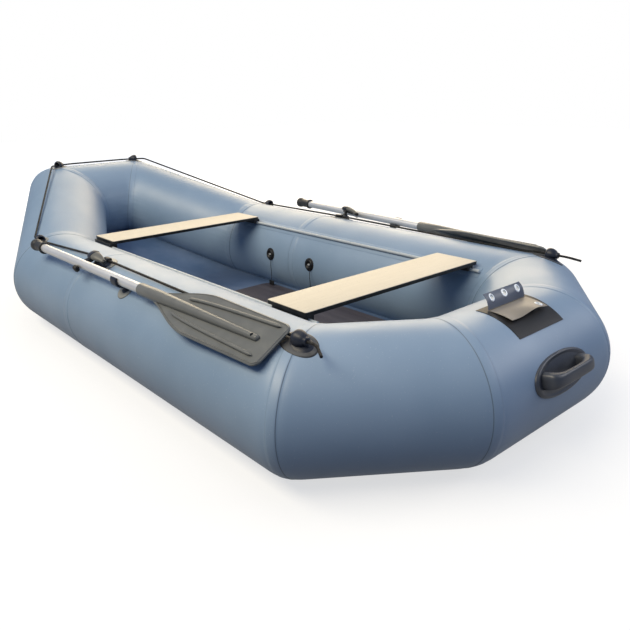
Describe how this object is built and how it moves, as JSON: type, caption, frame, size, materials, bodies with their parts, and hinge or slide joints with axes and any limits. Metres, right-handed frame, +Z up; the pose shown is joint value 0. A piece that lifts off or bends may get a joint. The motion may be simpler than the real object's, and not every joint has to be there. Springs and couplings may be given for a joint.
{
  "type": "inflatable rowing boat",
  "caption": "Inflatable rowing boat: round buoyancy tubes with a raised bow, a floor board, benches that slide on rails and oars in swivelling rowlocks, with a grab line.",
  "frame": {"origin": "on the floor it stands on, under the middle of its length and its beam", "axes": "+X to the bow, +Y to port, +Z up"},
  "size_m": [2.6258, 1.25, 0.549],
  "materials": {
    "tube_fabric": "coated satin",
    "bottom_fabric": "coated satin",
    "floor_board": "matt film-faced",
    "pale_plastic": "satin",
    "bench_wood": "varnished",
    "black_plastic": "satin",
    "navy_rubber": "satin",
    "black_rope": "braided",
    "shaft_aluminium": "satin",
    "blade_plastic": "satin"
  },
  "bodies": {
    "hull": {"tube_stern_cross": "tube_fabric", "tube_bow_cross": "tube_fabric", "tube_stern_port": "tube_fabric", "tube_side_aft_port": "tube_fabric", "tube_side_fore_port": "tube_fabric", "tube_bow_port": "tube_fabric", "bench_rail_port": "pale_plastic", "line_guide_stern_port": "navy_rubber", "line_guide_fore_port": "navy_rubber", "line_guide_bow_port": "navy_rubber", "rowlock_base_port": "navy_rubber", "oar_clip_pad_port": "navy_rubber", "oar_clip_hook_port": "navy_rubber", "tube_stern_starboard": "tube_fabric", "tube_side_aft_starboard": "tube_fabric", "tube_side_fore_starboard": "tube_fabric", "tube_bow_starboard": "tube_fabric", "bench_rail_starboard": "pale_plastic", "line_guide_stern_starboard": "navy_rubber", "line_guide_fore_starboard": "navy_rubber", "line_guide_bow_starboard": "navy_rubber", "rowlock_base_starboard": "navy_rubber", "oar_clip_pad_starboard": "navy_rubber", "oar_clip_hook_starboard": "navy_rubber", "hull_bottom": "bottom_fabric", "floor_board": "floor_board", "grab_line": "black_rope", "stern_patch": "tube_fabric", "stern_flap_upright": "tube_fabric", "stern_flap_folded": "tube_fabric", "stern_handle": "navy_rubber", "valve_fore": "black_plastic", "valve_aft": "black_plastic", "lanyard_fore": "black_plastic", "lanyard_aft": "black_plastic"},
    "bench_bow": {"bench_bow_board": "bench_wood", "bench_bow_bracket_port": "black_plastic", "bench_bow_bracket_starboard": "black_plastic"},
    "bench_stern": {"bench_stern_board": "bench_wood", "bench_stern_bracket_port": "black_plastic", "bench_stern_bracket_starboard": "black_plastic"},
    "rowlock_post_port": {"rowlock_post_port": "black_plastic"},
    "oar_port": {"rowlock_head_port": "black_plastic", "oar_shaft_port": "shaft_aluminium", "oar_grip_port": "black_plastic", "oar_blade_port": "blade_plastic", "oar_bolt_port": "black_plastic"},
    "rowlock_post_starboard": {"rowlock_post_starboard": "black_plastic"},
    "oar_starboard": {"rowlock_head_starboard": "black_plastic", "oar_shaft_starboard": "shaft_aluminium", "oar_grip_starboard": "black_plastic", "oar_blade_starboard": "blade_plastic", "oar_bolt_starboard": "black_plastic"}
  },
  "joints": [
    {"name": "oar_lift_port", "type": "hinge", "parent": "hull", "child": "rowlock_post_port", "pos_m": [-0.01711, 0.5265, 0.33845], "axis": [0.9962, 0.0872, 0], "range_deg": [0, 16]},
    {"name": "oar_swing_port", "type": "hinge", "parent": "rowlock_post_port", "child": "oar_port", "pos_m": [-0.01711, 0.5265, 0.33845], "axis": [0, -0.3907, -0.9205], "range_deg": [0, 135], "deforming": ["oar_clip_hook_port"]},
    {"name": "oar_lift_starboard", "type": "hinge", "parent": "hull", "child": "rowlock_post_starboard", "pos_m": [-0.01711, -0.5265, 0.33845], "axis": [-0.9962, 0.0872, 0], "range_deg": [0, 16]},
    {"name": "oar_swing_starboard", "type": "hinge", "parent": "rowlock_post_starboard", "child": "oar_starboard", "pos_m": [-0.01711, -0.5265, 0.33845], "axis": [0, -0.3907, 0.9205], "range_deg": [0, 135], "deforming": ["oar_clip_hook_starboard"]},
    {"name": "bench_bow_slide", "type": "slide", "parent": "hull", "child": "bench_bow", "axis": [1, 0, 0], "range_m": [-0.45, 0.02]},
    {"name": "bench_stern_slide", "type": "slide", "parent": "hull", "child": "bench_stern", "axis": [1, 0, 0], "range_m": [-0.04, 0.45]}
  ]
}
